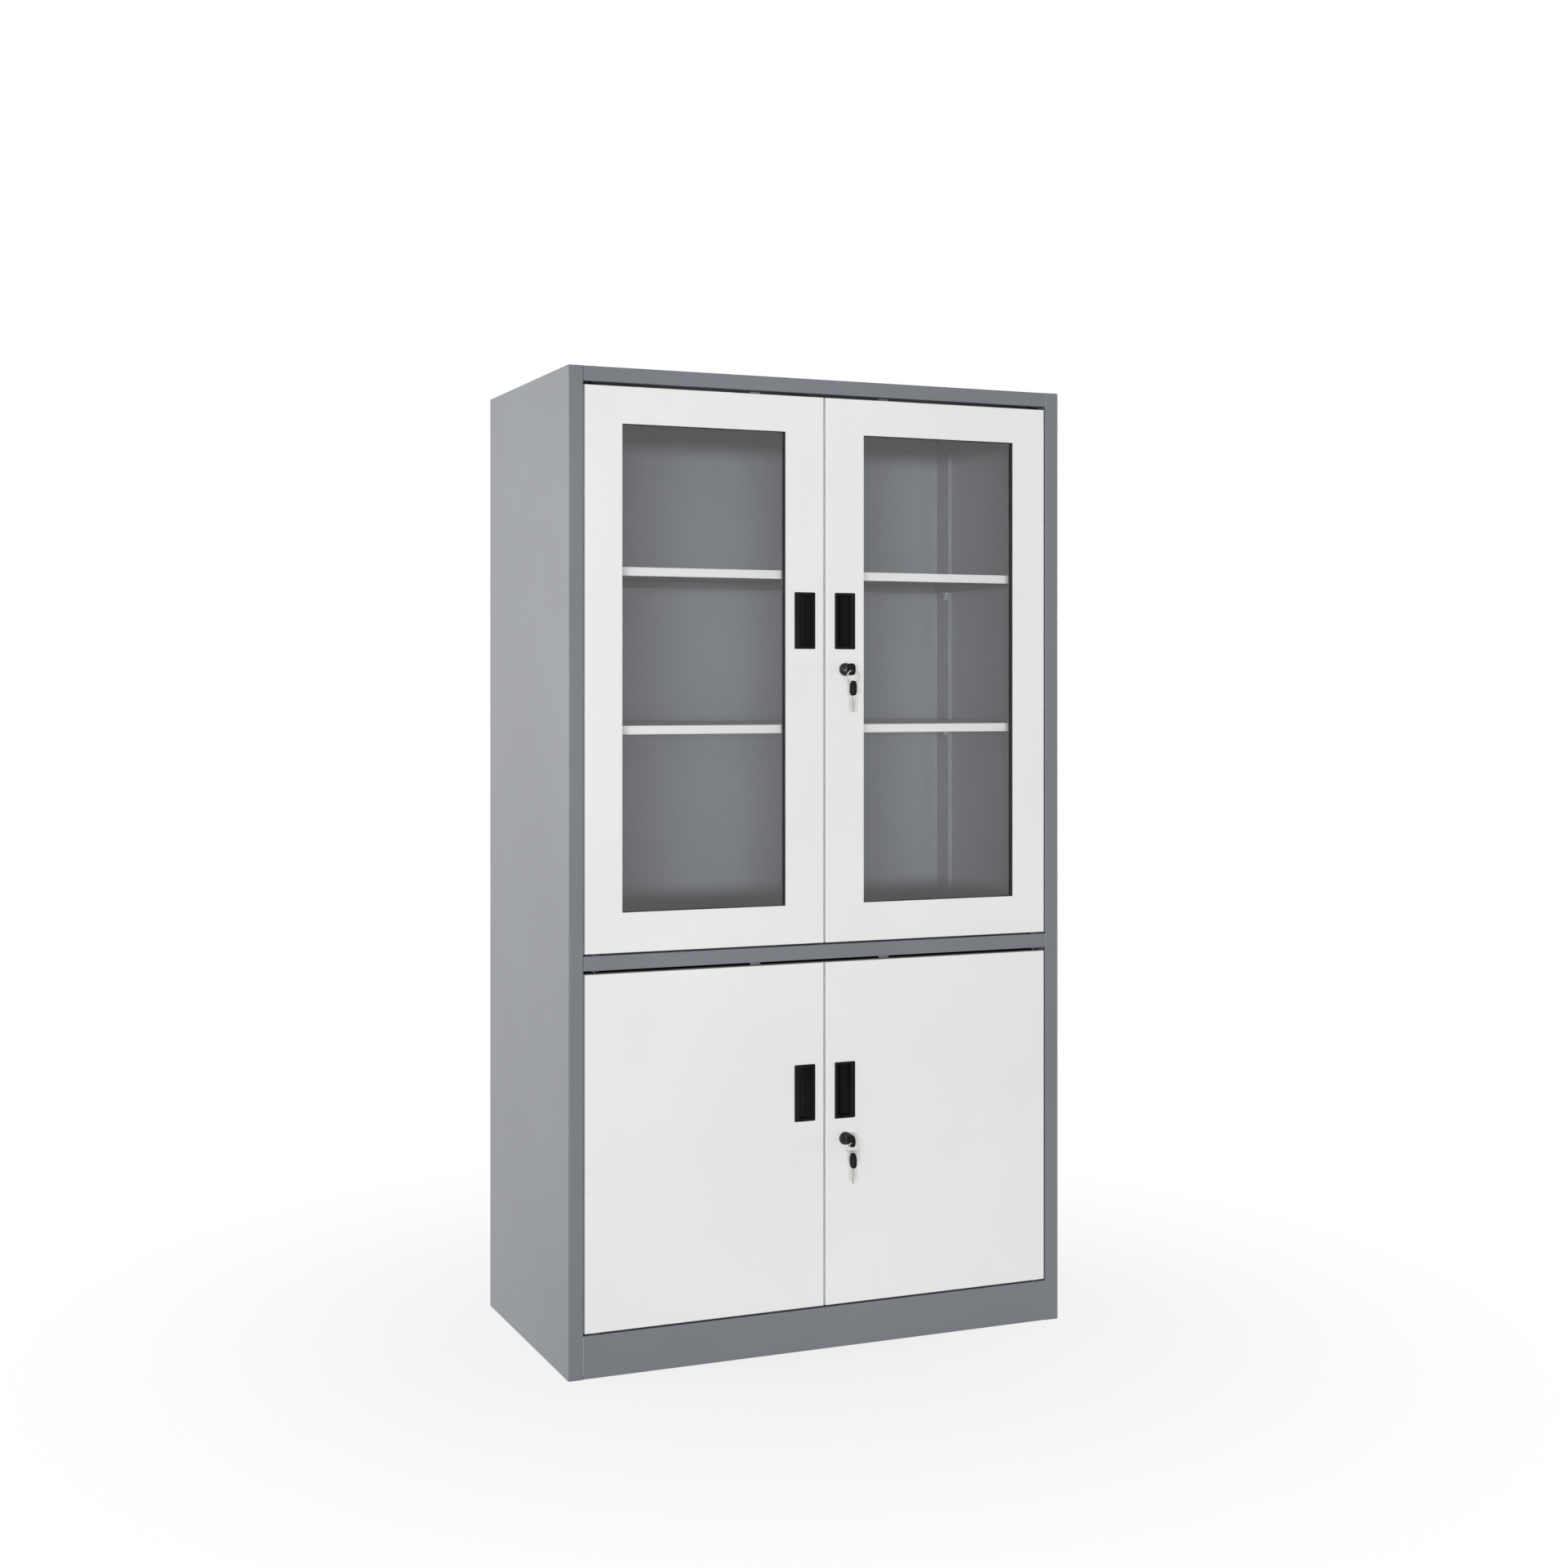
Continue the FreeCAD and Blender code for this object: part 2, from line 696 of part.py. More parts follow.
# Cam locks of the right doors
def barrel_rod(x, lock_z, y0, y1, clearance):
    """The section of the lock barrel, round with two flats, between two depths."""
    radius = BARREL_RADIUS + clearance
    half = BARREL_FLATS / 2 + clearance
    rod = Part.makeCylinder(radius, y1 - y0, V(x, y0, lock_z), V(0, 1, 0))
    return rod.common(box(x - half, x + half, y0, y1, lock_z - radius, lock_z + radius))


def lock_hole(lock_z):
    """Hole for the lock barrel through the sheets of a left-hand door."""
    return barrel_rod(-lock_x, lock_z, -SHEET, DOOR_THICK + SHEET, BARREL_CLEARANCE)


def lock_barrel(lock_z):
    """A round rosette on the door's face, and the barrel behind it, bored for the plug."""
    along = V(0, 1, 0)
    rosette = Part.makeCylinder(ROSETTE_RADIUS, ROSETTE_THICK, V(lock_x, -ROSETTE_THICK, lock_z), along)
    barrel = barrel_rod(lock_x, lock_z, 0, BARREL_LENGTH, 0)
    bore = Part.makeCylinder(
        PLUG_RADIUS + PLUG_RUNNING, ROSETTE_THICK + BARREL_LENGTH, V(lock_x, -ROSETTE_THICK, lock_z), along
    )
    return fused(rosette, barrel).cut(bore)


def lock_clamp(lock_z, seat):
    """A spring clamp pushed up over the flats of the barrel, against the sheet behind the rosette."""
    half = CLAMP_WIDTH / 2
    plate = box(
        lock_x - half,
        lock_x + half,
        seat,
        seat + CLAMP_THICK,
        lock_z - CLAMP_HEIGHT / 2,
        lock_z + CLAMP_HEIGHT / 2,
    )
    mouth_half = BARREL_FLATS / 2 + CLAMP_CLEARANCE
    mouth = box(
        lock_x - mouth_half,
        lock_x + mouth_half,
        seat,
        seat + CLAMP_THICK,
        lock_z - CLAMP_HEIGHT / 2,
        lock_z + BARREL_RADIUS + CLAMP_CLEARANCE,
    )
    return plate.cut(mouth)


def plug_front():
    return -ROSETTE_THICK - PLUG_PROUD


def cam_front():
    return BARREL_LENGTH + CAM_PLAY


def tang_end():
    return cam_front() + CAM_THICK


def lock_plug(lock_z):
    """The turning core: keyway in front, square tang for the cam behind."""
    front = plug_front()
    core = Part.makeCylinder(PLUG_RADIUS, BARREL_LENGTH - front, V(lock_x, front, lock_z), V(0, 1, 0))
    half = TANG / 2
    tang = box(lock_x - half, lock_x + half, BARREL_LENGTH, tang_end(), lock_z - half, lock_z + half)
    slot_x = BLADE_THICK / 2 + KEYWAY_PLAY
    slot_z = BLADE_WIDTH / 2 + KEYWAY_PLAY
    slot_end = blade_tip() + KEYWAY_PLAY
    keyway = box(lock_x - slot_x, lock_x + slot_x, front, slot_end, lock_z - slot_z, lock_z + slot_z)
    return fused(core, tang).cut(keyway)


def lock_cam(lock_z):
    """A cranked arm that hangs down when unlocked and turns behind the left door's edge."""
    tip_y = DOOR_THICK + CAM_BEHIND_DOOR
    hub_y = cam_front()
    reach = PULL_INSET + CENTRE_GAP + CAM_OVERLAP
    corners = [
        (hub_y, lock_z + CAM_WIDTH / 2),
        (hub_y, lock_z - CAM_CRANK_START),
        (tip_y, lock_z - CAM_CRANK_START - CAM_CRANK_RUN),
        (tip_y, lock_z - reach),
    ]
    arm = folded_sheet(corners, CAM_THICK, "x", lock_x - CAM_WIDTH / 2, CAM_WIDTH, [BEND, BEND])
    half = TANG / 2 + TANG_PLAY
    square = box(
        lock_x - half, lock_x + half, hub_y - CAM_THICK, hub_y + 2 * CAM_THICK, lock_z - half, lock_z + half
    )
    return arm.cut(square)


# Keys, drawn along +Y with the eye of the head at the origin
def key_head_end():
    return KEY_HEAD_LENGTH - KEY_EYE_INSET


def blade_start():
    return key_head_end() - KEY_TONGUE


def blade_tip():
    """Depth that the blade of the inserted key reaches in the lock."""
    return eye_y + key_head_end() + BLADE_LENGTH


def key_blade():
    """A flat blade with its bitting cut as notches along the lower edge."""
    half = BLADE_WIDTH / 2
    end = key_head_end() + BLADE_LENGTH
    line = [V(0, blade_start(), half), V(0, end - half, half), V(0, end, 0), V(0, end - half, -half)]
    pitch = BLADE_LENGTH / (BLADE_NOTCHES + BLADE_PLAIN_PITCHES)
    for k in range(BLADE_NOTCHES):
        middle = end - half - pitch * (k + 1)
        line.append(V(0, middle + pitch / 2, -half))
        line.append(V(0, middle, -half + BLADE_NOTCH))
    line.append(V(0, middle - pitch / 2, -half))
    line.append(V(0, blade_start(), -half))
    blade = Part.Face(Part.makePolygon(line + line[:1])).extrude(V(BLADE_THICK, 0, 0))
    blade.translate(V(-BLADE_THICK / 2, 0, 0))
    return blade


def key_head():
    """A moulded head round the end of the blade, with an eye for the ring."""
    half = KEY_HEAD_WIDTH / 2
    thick = KEY_HEAD_THICK / 2
    body = box(-thick, thick, -KEY_EYE_INSET, key_head_end(), -half, half)
    corner = min(KEY_HEAD_CORNER, half * KEY_HEAD_CORNER_SHARE)
    body = body.makeChamfer(corner, edges_along(body, V(1, 0, 0)))
    eye = box(-thick, thick, -KEY_EYE / 2, KEY_EYE / 2, -KEY_EYE / 2, KEY_EYE / 2)
    tongue = box(
        -BLADE_THICK / 2,
        BLADE_THICK / 2,
        blade_start(),
        key_head_end(),
        -BLADE_WIDTH / 2,
        BLADE_WIDTH / 2,
    )
    return body.cut([eye, tongue])


def ring_drop():
    """Distance from the middle of the ring to the eye that hangs on it or that it hangs from."""
    inside = RING_RADIUS - RING_WIRE / 2
    return sqrt(inside**2 - (KEY_HEAD_THICK / 2) ** 2) + KEY_EYE / 2 - RING_PLAY


def key_in_lock(piece, lock_z):
    placed = piece.copy()
    placed.translate(V(lock_x, eye_y, lock_z))
    return placed


def hanging_key(piece, lock_z):
    """The spare key hangs from the lowest point of the ring, blade down."""
    placed = piece.copy()
    placed.rotate(V(0, 0, 0), V(1, 0, 0), -90)
    placed.translate(V(lock_x, eye_y, lock_z - 2 * ring_drop()))
    return placed


def ring_outline(radius):
    """A many-sided outline round the middle of the ring."""
    angles = [(k % RING_SIDES) * 2 * pi / RING_SIDES for k in range(RING_SIDES + 1)]
    return Part.makePolygon([V(radius * cos(a), 0, radius * sin(a)) for a in angles])


def key_ring(lock_z):
    """A split ring through the eyes of both keys."""
    half = RING_WIRE / 2
    face = Part.Face([ring_outline(RING_RADIUS + half), ring_outline(RING_RADIUS - half)])
    ring = face.extrude(V(0, RING_WIRE, 0))
    ring.translate(V(lock_x, eye_y - half, lock_z - ring_drop()))
    return ring


# Save
def save(node, shape):
    moved = shape.copy()
    moved.translate(V(0, y_shift, 0))
    moved.exportStep("parts/" + node + ".step")


def save_carcass():
    save("left_side_panel", side_panel())
    save("right_side_panel", mirrored(side_panel()))
    save("top_panel", top_panel())
    save("middle_panel", middle_panel())
    save("bottom_panel", bottom_panel())
    save("back_panel", back_panel())
    save("upper_shelf_uprights", uprights(MIDDLE_TOP, HEIGHT - DECK_FLANGE - SHEET, UPPER_SHELF_TOP))
    save("lower_shelf_uprights", uprights(PLINTH, MIDDLE_TOP - DECK_FLANGE - SHEET, LOWER_SHELF_TOP))
    save("upper_shelf_1", shelf(UPPER_SHELF_TOP))
    save("upper_shelf_2", shelf(UPPER_SHELF_TOP + UPPER_SHELF_STEPS * SLOT_PITCH))
    save("lower_shelf", shelf(LOWER_SHELF_TOP))
    save("shelf_clips", shelf_clips())
    save("hinge_bushes", hinge_bushes())
    save("door_stops", door_stops())


def save_upper_door(side, place, cutters):
    """One glazed door. Place puts the left-hand piece on its side; cutters hold a lock's holes."""
    name = "upper_" + side + "_door_"
    save(name + "frame", place(glazed_frame().cut(cutters)))
    save(name + "inner_frame", place(inner_frame().cut(cutters)))
    save(name + "glass", place(glass()))
    save(name + "seal", place(glazing_seal()))
    save(name + "pull", place(pull(UPPER_PULL_HEIGHT)))
    save(name + "hinge_pins", place(hinge_pins(upper_door)))


def save_lower_door(side, place, cutters):
    name = "lower_" + side + "_door_"
    save(name + "pan", place(door_pan(lower_door, LOWER_PULL_HEIGHT).cut(cutters)))
    save(name + "stiffener", place(stiffener()))
    save(name + "pull", place(pull(LOWER_PULL_HEIGHT)))
    save(name + "hinge_pins", place(hinge_pins(lower_door)))


def save_bolt(name, door):
    save(name + "_bolt_guide", bolt_guide(door))
    save(name + "_slide_bolt", slide_bolt(door))


def save_lock(name, lock_z, clamp_seat):
    save(name + "_lock_barrel", lock_barrel(lock_z))
    save(name + "_lock_clamp", lock_clamp(lock_z, clamp_seat))
    save(name + "_lock_plug", lock_plug(lock_z))
    save(name + "_lock_cam", lock_cam(lock_z))
    save(name + "_key_blade", key_in_lock(key_blade(), lock_z))
    save(name + "_key_head", key_in_lock(key_head(), lock_z))
    save(name + "_key_ring", key_ring(lock_z))
    save(name + "_spare_key_blade", hanging_key(key_blade(), lock_z))
    save(name + "_spare_key_head", hanging_key(key_head(), lock_z))


os.makedirs("parts", exist_ok=True)
upper_lock_z = UPPER_PULL_HEIGHT - LOCK_DROP
lower_lock_z = LOWER_PULL_HEIGHT - LOCK_DROP
save_carcass()
save_upper_door("left", Part.Shape.copy, [])
save_upper_door("right", mirrored, [lock_hole(upper_lock_z)])
save_lower_door("left", Part.Shape.copy, [])
save_lower_door("right", mirrored, [lock_hole(lower_lock_z)])
save_bolt("upper_left", upper_door)
save_bolt("lower_left", lower_door)
save_lock("upper", upper_lock_z, DOOR_THICK - SHEET)
save_lock("lower", lower_lock_z, SHEET)
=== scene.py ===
import json
import math

import bmesh
import bpy
from mathutils import Matrix, Vector

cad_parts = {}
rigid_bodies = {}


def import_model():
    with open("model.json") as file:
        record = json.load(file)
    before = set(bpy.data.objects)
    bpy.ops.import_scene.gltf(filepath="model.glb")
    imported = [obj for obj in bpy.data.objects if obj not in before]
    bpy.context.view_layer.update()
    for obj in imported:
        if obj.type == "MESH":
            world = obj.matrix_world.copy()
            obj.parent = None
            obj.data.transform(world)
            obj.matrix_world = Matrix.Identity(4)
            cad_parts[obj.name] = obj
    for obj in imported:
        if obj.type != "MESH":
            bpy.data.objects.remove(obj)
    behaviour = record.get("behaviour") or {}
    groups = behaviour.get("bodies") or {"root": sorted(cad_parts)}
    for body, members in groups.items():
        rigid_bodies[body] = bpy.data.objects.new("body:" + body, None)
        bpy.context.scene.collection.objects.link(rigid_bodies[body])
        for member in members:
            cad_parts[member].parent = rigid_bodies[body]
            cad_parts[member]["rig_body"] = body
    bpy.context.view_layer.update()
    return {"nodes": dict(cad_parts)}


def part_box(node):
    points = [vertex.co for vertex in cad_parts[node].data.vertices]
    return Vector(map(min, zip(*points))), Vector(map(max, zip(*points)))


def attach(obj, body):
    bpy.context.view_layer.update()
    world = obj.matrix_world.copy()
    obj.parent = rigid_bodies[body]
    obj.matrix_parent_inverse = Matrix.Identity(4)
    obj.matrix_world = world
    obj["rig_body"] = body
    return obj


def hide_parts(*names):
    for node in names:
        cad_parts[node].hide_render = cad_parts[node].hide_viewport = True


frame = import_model()


# Carcass: two sides with their front posts, three decks and a back, folded from thin steel sheet
# and spot-welded where they meet. Slate-grey powder is baked on to a satin, faintly pebbled skin.
CARCASS_NODES = (
    "left_side_panel",
    "right_side_panel",
    "top_panel",
    "middle_panel",
    "bottom_panel",
    "back_panel",
)
CARCASS_SATIN = 0.4
SMOOTHER_ON_PEEL = 0.03
ROUGHER_ON_PEEL = 0.04
CLOUDS_PER_METRE = 2.6
CLOUD_DETAIL = 3.0
PEEL_PER_METRE = 420.0
PEEL_DETAIL = 2.0
PEEL_DEPTH = 0.000012
SPECKLE_LOW = 0.3
SPECKLE_HIGH = 0.7
# Painted highlight: within this width of an edge the paint is laid a lighter colour.
EDGE_WIDTH = 0.0014
EDGE_HIGHLIGHT_SHARE = 0.35
EDGE_BEGINS = 0.98
EDGE_FULL = 0.8


def tone(red, green, blue):
    """A colour as it looks on a painted sample card, 0 to 255, in linear light."""
    channels = []
    for value in (red, green, blue):
        channels.append(((value / 255 + 0.055) / 1.055) ** 2.4)
    return (*channels, 1.0)


def new_finish(name):
    """An empty finish, its node tree and its shader."""
    finish = bpy.data.materials.new(name)
    finish.use_nodes = True
    return finish, finish.node_tree, finish.node_tree.nodes["Principled BSDF"]


def speckle(tree, cells_per_metre, detail, stretch=(1.0, 1.0, 1.0)):
    """Noise fixed to the piece, with so many cells to the metre, drawn out along one way if asked."""
    place = tree.nodes.new("ShaderNodeTexCoord")
    drawn = tree.nodes.new("ShaderNodeMapping")
    drawn.inputs["Scale"].default_value = stretch
    noise = tree.nodes.new("ShaderNodeTexNoise")
    noise.inputs["Scale"].default_value = cells_per_metre
    noise.inputs["Detail"].default_value = detail
    tree.links.new(place.outputs["Object"], drawn.inputs["Vector"])
    tree.links.new(drawn.outputs["Vector"], noise.inputs["Vector"])
    return noise.outputs["Fac"]


def between(tree, noise, low, high):
    """Turns noise into a number from low to high."""
    span = tree.nodes.new("ShaderNodeMapRange")
    span.inputs["From Min"].default_value = SPECKLE_LOW
    span.inputs["From Max"].default_value = SPECKLE_HIGH
    span.inputs["To Min"].default_value = low
    span.inputs["To Max"].default_value = high
    tree.links.new(noise, span.inputs["Value"])
    return span.outputs["Result"]


def shaded(tree, noise, dark, light):
    """Turns noise into a colour from dark to light."""
    ramp = tree.nodes.new("ShaderNodeValToRGB")
    ramp.color_ramp.elements[0].position = SPECKLE_LOW
    ramp.color_ramp.elements[0].color = dark
    ramp.color_ramp.elements[1].position = SPECKLE_HIGH
    ramp.color_ramp.elements[1].color = light
    tree.links.new(noise, ramp.inputs["Fac"])
    return ramp.outputs["Color"]


def edge_mask(tree, width, share):
    """Rises to that share where the surface turns a corner within the width."""
    rounded = tree.nodes.new("ShaderNodeBevel")
    rounded.inputs["Radius"].default_value = width
    flat = tree.nodes.new("ShaderNodeNewGeometry")
    agree = tree.nodes.new("ShaderNodeVectorMath")
    agree.operation = "DOT_PRODUCT"
    tree.links.new(rounded.outputs["Normal"], agree.inputs[0])
    tree.links.new(flat.outputs["Normal"], agree.inputs[1])
    span = tree.nodes.new("ShaderNodeMapRange")
    span.inputs["From Min"].default_value = EDGE_BEGINS
    span.inputs["From Max"].default_value = EDGE_FULL
    span.inputs["To Min"].default_value = 0.0
    span.inputs["To Max"].default_value = share
    tree.links.new(agree.outputs["Value"], span.inputs["Value"])
    return span.outputs["Result"]


def overlaid(tree, mask, under, over):
    """Lays one colour over another where the mask rises."""
    mix = tree.nodes.new("ShaderNodeMixRGB")
    mix.inputs["Color2"].default_value = over
    tree.links.new(mask, mix.inputs["Fac"])
    tree.links.new(under, mix.inputs["Color1"])
    return mix.outputs["Color"]


def pebbled(tree, shader, noise, depth):
    """Raises the skin of the finish by the noise, to that depth in metres."""
    bump = tree.nodes.new("ShaderNodeBump")
    bump.inputs["Strength"].default_value = 1.0
    bump.inputs["Distance"].default_value = depth
    tree.links.new(noise, bump.inputs["Height"])
    tree.links.new(bump.outputs["Normal"], shader.inputs["Normal"])


def powder_coat(name, dark, light, edge, satin):
    """Baked powder: faint clouds of tone, a painted highlight of lighter colour along the edges,
    orange-peel skin.
    """
    finish, tree, shader = new_finish(name)
    clouds = shaded(tree, speckle(tree, CLOUDS_PER_METRE, CLOUD_DETAIL), dark, light)
    # Painted highlight: the lighter edge colour is mixed in where the surface turns a corner.
    edge_highlight = edge_mask(tree, EDGE_WIDTH, EDGE_HIGHLIGHT_SHARE)
    tree.links.new(overlaid(tree, edge_highlight, clouds, edge), shader.inputs["Base Color"])
    peel = speckle(tree, PEEL_PER_METRE, PEEL_DETAIL)
    sheen = between(tree, peel, satin - SMOOTHER_ON_PEEL, satin + ROUGHER_ON_PEEL)
    tree.links.new(sheen, shader.inputs["Roughness"])
    pebbled(tree, shader, peel, PEEL_DEPTH)
    return finish


def dress(nodes, finish):
    """Gives solids that already have the right form their finish."""
    for node in nodes:
        slots = frame["nodes"][node].data.materials
        slots.clear()
        slots.append(finish)


# The last colour is the painted edge highlight, lighter than the paint itself.
slate_grey = powder_coat(
    "slate_grey_powder", tone(112, 115, 121), tone(118, 121, 127), tone(140, 143, 148), CARCASS_SATIN
)
dress(CARCASS_NODES, slate_grey)


# Rivets of the back: flat-headed blind rivets through the back sheet into the rear flange of each
# deck, set before painting, so they carry the same grey powder.
RIVETS_IN_ROW = 7
RIVET_ROW_HALF = 0.42
RIVET_BELOW_DECK = 0.0075
RIVET_STEPS = 24
FLAT_RIVET = (
    (0.0030, 0.0),
    (0.0030, 0.0003),
    (0.0026, 0.0006),
    (0.0016, 0.0007),
    (0.0012, 0.0007),
    (0.0010, 0.0003),
)
SMOOTH_ANGLE = math.radians(32)


def hung(name, shape, finish, body):
    """Makes a piece of a worked mesh, gives it its finish and lets it ride on a body."""
    mesh = bpy.data.meshes.new(name)
    bmesh.ops.recalc_face_normals(shape, faces=shape.faces)
    shape.to_mesh(mesh)
    shape.free()
    mesh.materials.append(finish)
    mesh.shade_smooth()
    mesh.set_sharp_from_angle(angle=SMOOTH_ANGLE)
    piece = bpy.data.objects.new(name, mesh)
    bpy.context.scene.collection.objects.link(piece)
    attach(piece, body)
    return piece


def skinned(shape, loops, closed=False):
    """Skins loops of equally many points; the first and last are capped unless the skin is closed."""
    following = loops[1:] + loops[:1] if closed else loops[1:]
    for loop, after in zip(loops, following):
        for k in range(len(loop)):
            n = (k + 1) % len(loop)
            shape.faces.new((loop[k], loop[n], after[n], after[k]))
    if not closed:
        shape.faces.new(loops[0][::-1])
        shape.faces.new(loops[-1])


def turned_heads(rings, places, outwards, steps):
    """Heads built up from rings (reach, height), one at each place, all facing one way."""
    shape = bmesh.new()
    tilt = Vector((0, 0, 1)).rotation_difference(Vector(outwards)).to_matrix().to_4x4()
    for place in places:
        seat = Matrix.Translation(place) @ tilt
        loops = []
        for reach, height in rings:
            loop = []
            for k in range(steps):
                angle = 2 * math.pi * k / steps
                radius = reach(angle) if callable(reach) else reach
                point = Vector((radius * math.cos(angle), radius * math.sin(angle), height))
                loop.append(shape.verts.new(seat @ point))
            loops.append(loop)
        skinned(shape, loops)
    return shape


back_rivet_places = []
for deck in ("top_panel", "middle_panel", "bottom_panel"):
    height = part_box(deck)[1].z - RIVET_BELOW_DECK
    for k in range(RIVETS_IN_ROW):
        across = -RIVET_ROW_HALF + 2 * RIVET_ROW_HALF * k / (RIVETS_IN_ROW - 1)
        back_rivet_places.append(Vector((across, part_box("back_panel")[1].y, height)))
hung(
    "back_rivets",
    turned_heads(FLAT_RIVET, back_rivet_places, (0, 1, 0), RIVET_STEPS),
    slate_grey,
    "cabinet",
)


# Shelf uprights and clips: slotted steel channels welded to the side skins and painted with them.
# Bent zinc-plated clips hook into the slots, four to a shelf.
MOTTLE_PER_METRE = 140.0
MOTTLE_DETAIL = 4.0
SCRATCHES_PER_METRE = 2600.0
SCRATCH_DETAIL = 2.0
SCRATCH_RUN = (1.0, 1.0, 0.05)
SCRATCH_DEPTH = 0.000004
CLIP_EASE = 0.0003
EASE_STEPS = 2
EASE_PROFILE = 0.5
WELD_REACH = 0.00001
FLAT_ANGLE = math.radians(1)
CORNER_ANGLE = math.radians(29)


def plated(name, dark, light, smooth, rough):
    """Plated steel: a mottled bright skin with fine drawn scratches."""
    finish, tree, shader = new_finish(name)
    mottle = speckle(tree, MOTTLE_PER_METRE, MOTTLE_DETAIL)
    tree.links.new(shaded(tree, mottle, dark, light), shader.inputs["Base Color"])
    shader.inputs["Metallic"].default_value = 1.0
    scratches = speckle(tree, SCRATCHES_PER_METRE, SCRATCH_DETAIL, SCRATCH_RUN)
    tree.links.new(between(tree, scratches, smooth, rough), shader.inputs["Roughness"])
    pebbled(tree, shader, scratches, SCRATCH_DEPTH)
    return finish


def eased(node, finish, width):
    """A piece with a solid's form and its sharp edges taken off, as moulding or tumbling leaves them."""
    solid = frame["nodes"][node]
    shape = bmesh.new()
    shape.from_mesh(solid.data)
    bmesh.ops.remove_doubles(shape, verts=shape.verts, dist=WELD_REACH)
    bmesh.ops.dissolve_limit(shape, angle_limit=FLAT_ANGLE, verts=shape.verts, edges=shape.edges)
    corners = []
    for edge in shape.edges:
        if edge.is_manifold and edge.calc_face_angle() > CORNER_ANGLE:
            corners.append(edge)
    bmesh.ops.bevel(
        shape,
        geom=corners,
        offset=width,
        segments=EASE_STEPS,
        profile=EASE_PROFILE,
        affect="EDGES",
        clamp_overlap=True,
    )
    piece = hung(node + "_eased", shape, finish, solid["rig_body"])
    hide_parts(node)


dress(("upper_shelf_uprights", "lower_shelf_uprights"), slate_grey)
bright_zinc = plated("bright_zinc", tone(176, 180, 184), tone(206, 208, 210), 0.24, 0.42)
eased("shelf_clips", bright_zinc, CLIP_EASE)


# Shelves: shallow steel trays turned upside down with a hemmed front lip, laid on their clips. They
# are sprayed white; the faces behind the front lip that do not look up are painted a darker grey as
# painted shade.
SHELF_SATIN = 0.55
SHELF_GLOSS = 0.2
# Painted shade: the grey laid on the tray's lower and inner faces.
SHADE_GREY_INSIDE = tone(104, 105, 107)
SHADE_STARTS_BEHIND_FRONT = 0.002
FACING_UP = 0.5


def reckoned(tree, way, first, second):
    """A number worked out from a socket and another socket, or from a socket and a limit."""
    sum_node = tree.nodes.new("ShaderNodeMath")
    sum_node.operation = way
    tree.links.new(first, sum_node.inputs[0])
    if isinstance(second, float):
        sum_node.inputs[1].default_value = second
    else:
        tree.links.new(second, sum_node.inputs[1])
    return sum_node.outputs["Value"]


def painted_shade_inside(finish, from_front, shade_grey):
    """Paints a darker grey, as painted shade, on the faces behind the front lip that do not look up."""
    tree = finish.node_tree
    coat = tree.nodes["Principled BSDF"].inputs["Base Color"]
    surface = tree.nodes.new("ShaderNodeTexCoord")
    place = tree.nodes.new("ShaderNodeSeparateXYZ")
    tree.links.new(surface.outputs["Object"], place.inputs["Vector"])
    facing = tree.nodes.new("ShaderNodeSeparateXYZ")
    tree.links.new(surface.outputs["Normal"], facing.inputs["Vector"])
    behind = reckoned(tree, "GREATER_THAN", place.outputs["Y"], from_front)
    turned_away = reckoned(tree, "LESS_THAN", facing.outputs["Z"], FACING_UP)
    painted_shade = reckoned(tree, "MULTIPLY", behind, turned_away)
    sprayed = coat.links[0].from_socket
    tree.links.new(overlaid(tree, painted_shade, sprayed, shade_grey), coat)


# The last colour is the painted edge highlight, lighter than the white itself.
shelf_white = powder_coat(
    "shelf_white_powder", tone(227, 227, 225), tone(233, 233, 231), tone(240, 240, 239), SHELF_SATIN
)
# Painted shade on the shelf trays: faces behind the lip that do not look up turn grey.
painted_shade_inside(shelf_white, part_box("lower_shelf")[0].y + SHADE_STARTS_BEHIND_FRONT, SHADE_GREY_INSIDE)
shelf_white.node_tree.nodes["Principled BSDF"].inputs["Specular IOR Level"].default_value = SHELF_GLOSS
dress(("upper_shelf_1", "upper_shelf_2", "lower_shelf"), shelf_white)


# Hinges and stops: each door turns on two oil-blackened steel pins in black nylon bushes that snap
# into the rails. A painted steel angle riveted under each rail stops the closed door.
BUSH_EASE = 0.0005
PIN_EASE = 0.0003
STOP_EASE = 0.0003
STOP_HALF = 0.01
STOP_RIVET_FROM_REAR = 0.0065
STOP_SHEET = 0.0015
FLOW_PER_METRE = 30.0
FLOW_DETAIL = 2.0
GRAIN_DETAIL = 2.0


def moulded(name, dark, light, grain_per_metre, grain_depth, smooth, rough):
    """Injection-moulded plastic: fine spark-eroded grain, a slight flow mottle, polished high spots."""
    finish, tree, shader = new_finish(name)
    flow = speckle(tree, FLOW_PER_METRE, FLOW_DETAIL)
    tree.links.new(shaded(tree, flow, dark, light), shader.inputs["Base Color"])
    grain = speckle(tree, grain_per_metre, GRAIN_DETAIL)
    tree.links.new(between(tree, grain, smooth, rough), shader.inputs["Roughness"])
    pebbled(tree, shader, grain, grain_depth)
    return finish


black_nylon = moulded("black_nylon", tone(22, 22, 23), tone(32, 32, 33), 900.0, 0.00001, 0.45, 0.6)
blackened_steel = plated("blackened_steel", tone(44, 44, 46), tone(60, 60, 62), 0.35, 0.5)
eased("hinge_bushes", black_nylon, BUSH_EASE)
for door in ("upper_left", "upper_right", "lower_left", "lower_right"):
    eased(door + "_door_hinge_pins", blackened_steel, PIN_EASE)
eased("door_stops", slate_grey, STOP_EASE)

